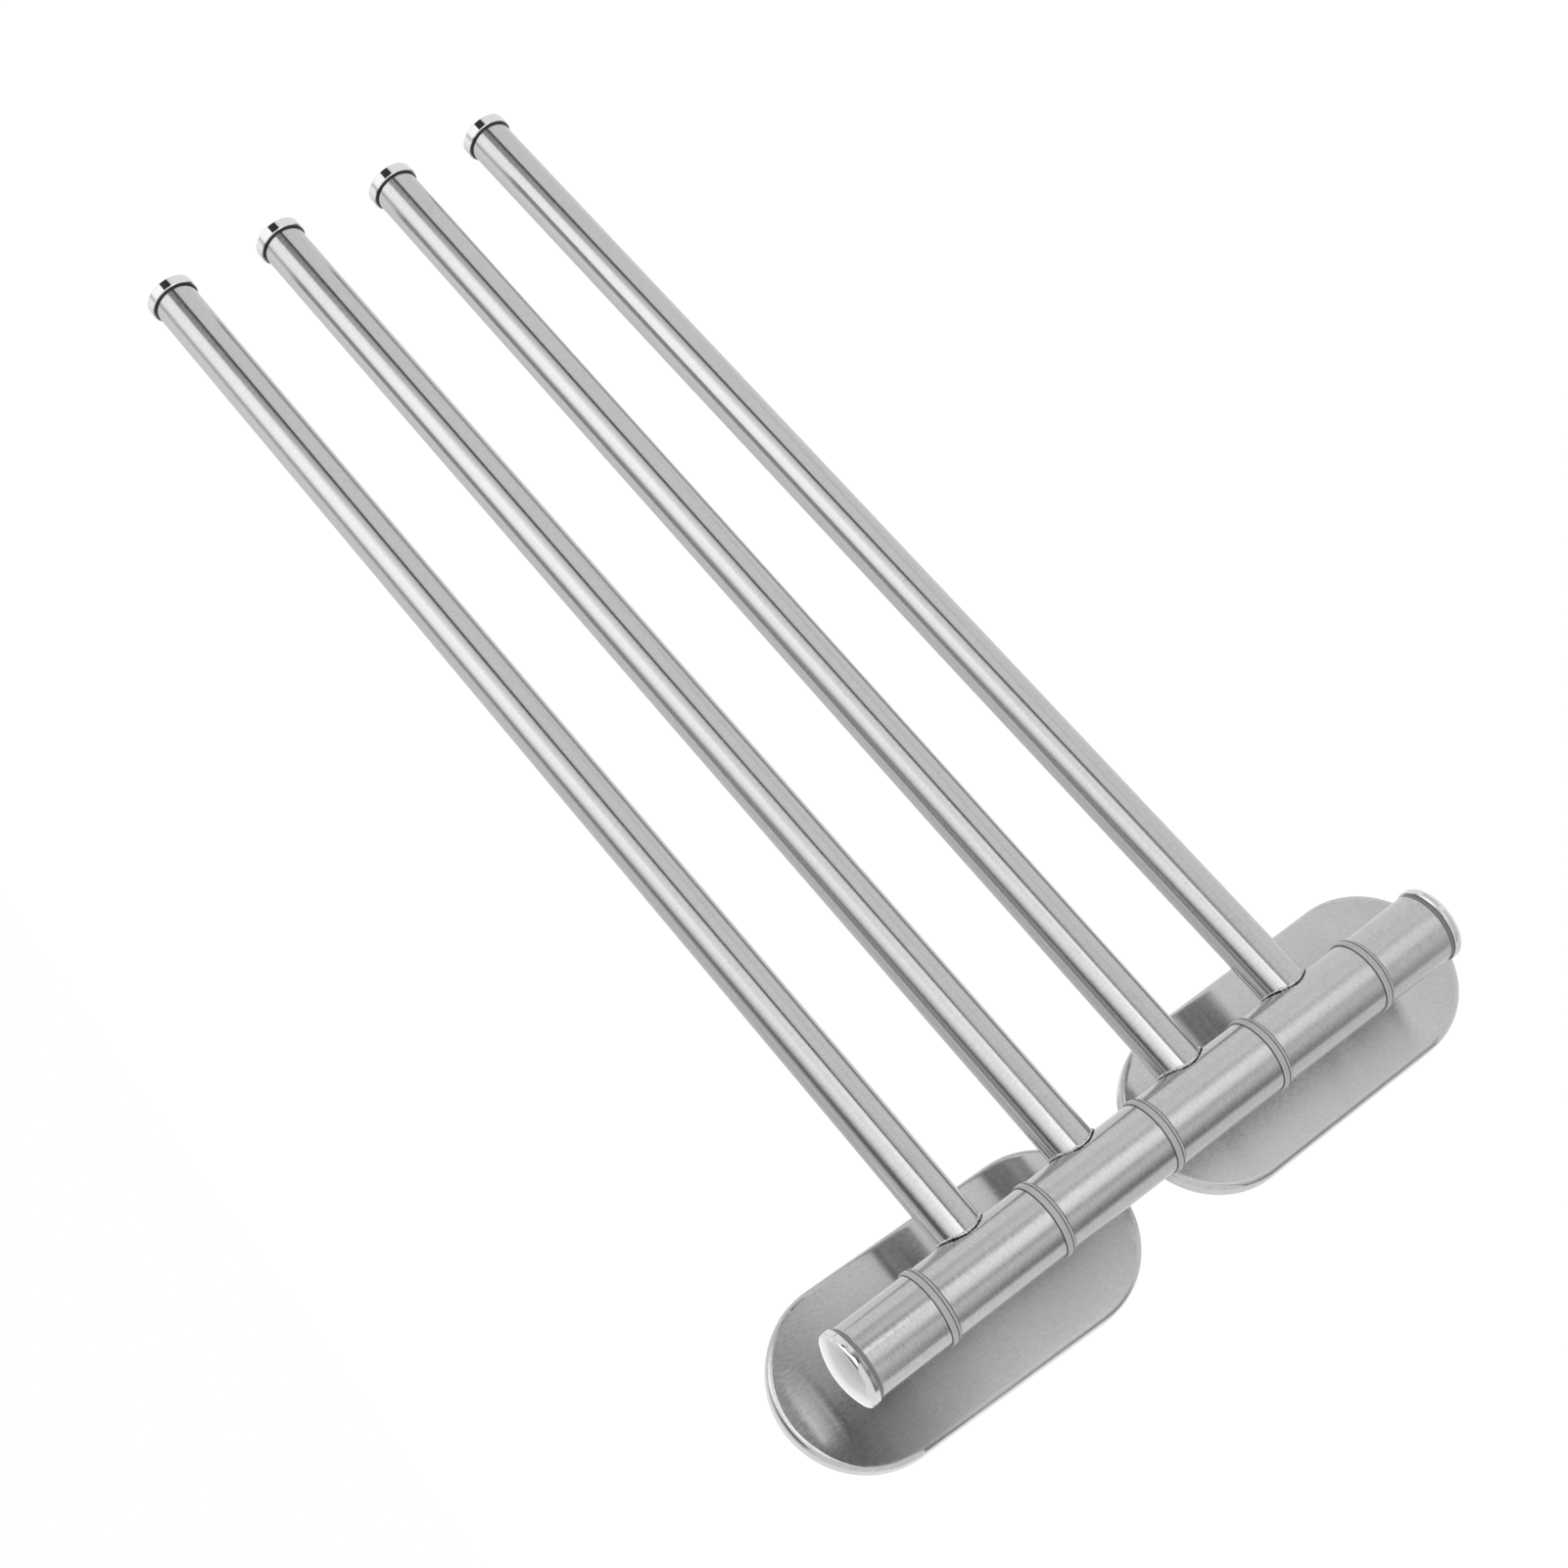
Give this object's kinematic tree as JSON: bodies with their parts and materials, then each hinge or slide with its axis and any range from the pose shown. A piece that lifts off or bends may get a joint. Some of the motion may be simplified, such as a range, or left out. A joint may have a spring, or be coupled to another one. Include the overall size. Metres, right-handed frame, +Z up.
{
  "type": "swing arm towel bar",
  "caption": "Wall-mounted towel bar: tubular arms swing on an upright hub, which posts with oblong covers hold off the wall.",
  "frame": {"origin": "on the wall plane, at the centre of the rectangle of wall screws, behind the middle of the hub", "axes": "+Z up along the hub, +Y into the wall, +X along the arms as they lie folded beside the hub"},
  "size_m": [0.4825, 0.0512, 0.2808],
  "materials": {
    "brushed_tube": "stainless tube, brushed round its axis",
    "brushed_sheet": "stainless sheet, brushed along its length, satin",
    "polished_steel": "turned and polished to a mirror",
    "nylon": "turned grey nylon, satin",
    "ring_plastic": "dark grey moulded plastic",
    "black_plastic": "black moulded plastic",
    "zinc_steel": "zinc-plated steel",
    "black_steel": "black oxide"
  },
  "bodies": {
    "hub": {"hub_cap_upper": "polished_steel", "hub_cap_lower": "polished_steel", "cap_ring_upper": "ring_plastic", "cap_ring_lower": "ring_plastic", "end_tube_upper": "brushed_tube", "end_tube_lower": "brushed_tube", "end_disc_upper": "zinc_steel", "end_disc_lower": "zinc_steel", "spring_washer_upper": "zinc_steel", "spring_washer_lower": "zinc_steel", "rod_nut_upper": "zinc_steel", "rod_nut_lower": "zinc_steel", "pivot_rod": "zinc_steel", "post_upper": "brushed_tube", "post_lower": "brushed_tube", "grub_screw_upper": "black_steel", "grub_screw_lower": "black_steel", "bracket_upper": "zinc_steel", "bracket_lower": "zinc_steel", "cover_upper": "brushed_sheet", "cover_lower": "brushed_sheet", "spacer_1": "nylon", "spacer_2": "nylon", "spacer_3": "nylon", "spacer_4": "nylon", "spacer_5": "nylon"},
    "swing_arm_1": {"sleeve_1": "brushed_tube", "arm_1": "brushed_tube", "arm_plug_1": "black_plastic", "arm_cap_1": "polished_steel"},
    "swing_arm_2": {"sleeve_2": "brushed_tube", "arm_2": "brushed_tube", "arm_plug_2": "black_plastic", "arm_cap_2": "polished_steel"},
    "swing_arm_3": {"sleeve_3": "brushed_tube", "arm_3": "brushed_tube", "arm_plug_3": "black_plastic", "arm_cap_3": "polished_steel"},
    "swing_arm_4": {"sleeve_4": "brushed_tube", "arm_4": "brushed_tube", "arm_plug_4": "black_plastic", "arm_cap_4": "polished_steel"}
  },
  "joints": [
    {"name": "arm_1_swing", "type": "hinge", "parent": "hub", "child": "swing_arm_1", "pos_m": [0, -0.038, 0.06817], "axis": [0, 0, -1], "range_deg": [0, 184]},
    {"name": "arm_2_swing", "type": "hinge", "parent": "hub", "child": "swing_arm_2", "pos_m": [0, -0.038, 0.02272], "axis": [0, 0, -1], "range_deg": [0, 184]},
    {"name": "arm_3_swing", "type": "hinge", "parent": "hub", "child": "swing_arm_3", "pos_m": [0, -0.038, -0.02272], "axis": [0, 0, -1], "range_deg": [0, 184]},
    {"name": "arm_4_swing", "type": "hinge", "parent": "hub", "child": "swing_arm_4", "pos_m": [0, -0.038, -0.06817], "axis": [0, 0, -1], "range_deg": [0, 184]}
  ]
}
